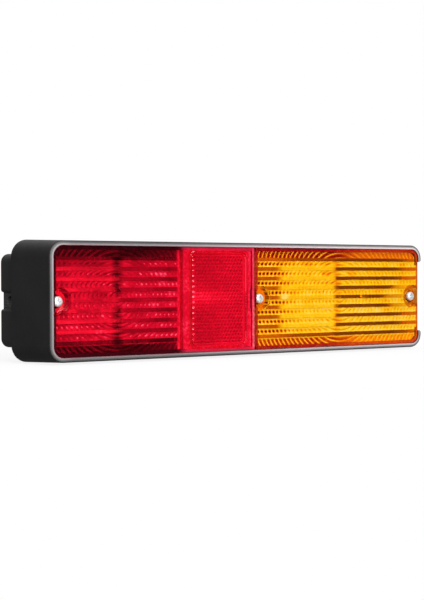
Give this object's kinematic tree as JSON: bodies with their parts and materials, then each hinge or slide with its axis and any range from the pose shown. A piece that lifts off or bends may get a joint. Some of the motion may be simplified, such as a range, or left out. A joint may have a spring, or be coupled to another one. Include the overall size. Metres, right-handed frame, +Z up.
{
  "type": "trailer tail light",
  "caption": "Long rectangular trailer rear lamp: red tail and brake lens with reflex panel beside an amber turn lens, in a black moulded tray with studs and a side cable entry.",
  "frame": {"origin": "centre of the rear mounting face, between the two studs", "axes": "-Y is the way the lenses face, +Y points into the vehicle, +X is to the right when facing the lenses (towards the amber end), +Z is up"},
  "size_m": [0.3468, 0.088, 0.0828],
  "materials": {
    "black_housing": "fine moulded grain, semi-matt",
    "black_rubber": "matt moulded rubber",
    "grommet_rubber": "matt ribbed rubber",
    "red_acrylic": "transparent red acrylic, polished face with moulded optics inside",
    "amber_acrylic": "transparent amber acrylic, polished face with moulded optics inside",
    "white_plastic": "natural nylon",
    "fibre": "laminated insulating fibre",
    "zinc_steel": "bright zinc plate",
    "bright_steel": "bright pressed tinplate",
    "spring_steel": "drawn spring wire",
    "nickel": "nickel-plated brass cap",
    "brass": "bare brass",
    "clear_glass": "clear blown glass",
    "filament": "glass stem with tungsten coils",
    "wire_brown": "PVC insulation",
    "wire_red": "PVC insulation",
    "wire_green": "PVC insulation",
    "wire_white": "PVC insulation"
  },
  "bodies": {
    "housing": {"bulb_holder_amber": "zinc_steel", "bulb_holder_red": "zinc_steel", "cable_grommet": "grommet_rubber", "cover_screws": "zinc_steel", "earth_strip": "brass", "holder_insulator_amber": "white_plastic", "holder_insulator_red": "white_plastic", "holder_tabs_amber": "brass", "holder_tabs_red": "brass", "housing": "black_housing", "lens_gasket": "black_rubber", "mounting_studs": "zinc_steel", "plate_screws": "zinc_steel", "rear_cover": "black_housing", "reflector_plate_amber": "bright_steel", "reflector_plate_red": "bright_steel", "terminal_block": "white_plastic", "terminal_clamps": "brass", "terminal_fixing_screw": "zinc_steel", "terminal_screws": "zinc_steel", "wire_brake": "wire_red", "wire_earth": "wire_white", "wire_tail": "wire_brown", "wire_turn": "wire_green"},
    "red_lens": {"red_lens": "red_acrylic", "reflex_reflector": "red_acrylic", "reflex_backing": "white_plastic"},
    "amber_lens": {"amber_lens": "amber_acrylic"},
    "screw_seal_left": {"screw_seal_left": "black_rubber"},
    "lens_screw_left": {"lens_screw_left": "zinc_steel"},
    "screw_seal_middle": {"screw_seal_middle": "black_rubber"},
    "lens_screw_middle": {"lens_screw_middle": "zinc_steel"},
    "screw_seal_right": {"screw_seal_right": "black_rubber"},
    "lens_screw_right": {"lens_screw_right": "zinc_steel"},
    "contacts_red": {"contact_disc_red": "fibre", "contact_pins_red": "brass", "contact_springs_red": "spring_steel"},
    "bulb_red": {"bulb_cap_red": "nickel", "bulb_glass_red": "clear_glass", "bulb_filament_red": "filament"},
    "contacts_amber": {"contact_disc_amber": "fibre", "contact_pins_amber": "brass", "contact_springs_amber": "spring_steel"},
    "bulb_amber": {"bulb_cap_amber": "nickel", "bulb_glass_amber": "clear_glass", "bulb_filament_amber": "filament"}
  },
  "joints": [
    {"name": "red_lens_lift", "type": "slide", "parent": "housing", "child": "red_lens", "axis": [0, -1, 0], "range_m": [0, 0.06]},
    {"name": "amber_lens_lift", "type": "slide", "parent": "red_lens", "child": "amber_lens", "axis": [0, -1, 0], "range_m": [0, 0.06]},
    {"name": "screw_left_travel", "type": "slide", "parent": "red_lens", "child": "screw_seal_left", "axis": [0, -1, 0], "range_m": [0, 0.0104]},
    {"name": "screw_left_turn", "type": "hinge", "parent": "screw_seal_left", "child": "lens_screw_left", "pos_m": [-0.1635, -0.0635, 0], "axis": [0, -1, 0], "range_deg": [0, 2881]},
    {"name": "screw_middle_travel", "type": "slide", "parent": "amber_lens", "child": "screw_seal_middle", "axis": [0, -1, 0], "range_m": [0, 0.0104]},
    {"name": "screw_middle_turn", "type": "hinge", "parent": "screw_seal_middle", "child": "lens_screw_middle", "pos_m": [0.0079, -0.0635, 0], "axis": [0, -1, 0], "range_deg": [0, 2881]},
    {"name": "screw_right_travel", "type": "slide", "parent": "amber_lens", "child": "screw_seal_right", "axis": [0, -1, 0], "range_m": [0, 0.0104]},
    {"name": "screw_right_turn", "type": "hinge", "parent": "screw_seal_right", "child": "lens_screw_right", "pos_m": [0.1636, -0.0635, 0], "axis": [0, -1, 0], "range_deg": [0, 2881]},
    {"name": "bulb_red_push", "type": "slide", "parent": "housing", "child": "contacts_red", "axis": [0, 1, 0], "range_m": [0, 0.0018], "deforming": ["contact_springs_red"]},
    {"name": "bulb_red_turn", "type": "hinge", "parent": "contacts_red", "child": "bulb_red", "pos_m": [-0.117, -0.0175, 0], "axis": [0, -1, 0], "range_deg": [0, 25]},
    {"name": "bulb_amber_push", "type": "slide", "parent": "housing", "child": "contacts_amber", "axis": [0, 1, 0], "range_m": [0, 0.0018], "deforming": ["contact_springs_amber"]},
    {"name": "bulb_amber_turn", "type": "hinge", "parent": "contacts_amber", "child": "bulb_amber", "pos_m": [0.086, -0.0175, 0], "axis": [0, -1, 0], "range_deg": [0, 25]}
  ],
  "couplings": [
    {"joint": "screw_left_turn", "follows": "screw_left_travel", "rad_per_m": 4833.2},
    {"joint": "screw_middle_turn", "follows": "screw_middle_travel", "rad_per_m": 4833.2},
    {"joint": "screw_right_turn", "follows": "screw_right_travel", "rad_per_m": 4833.2}
  ]
}
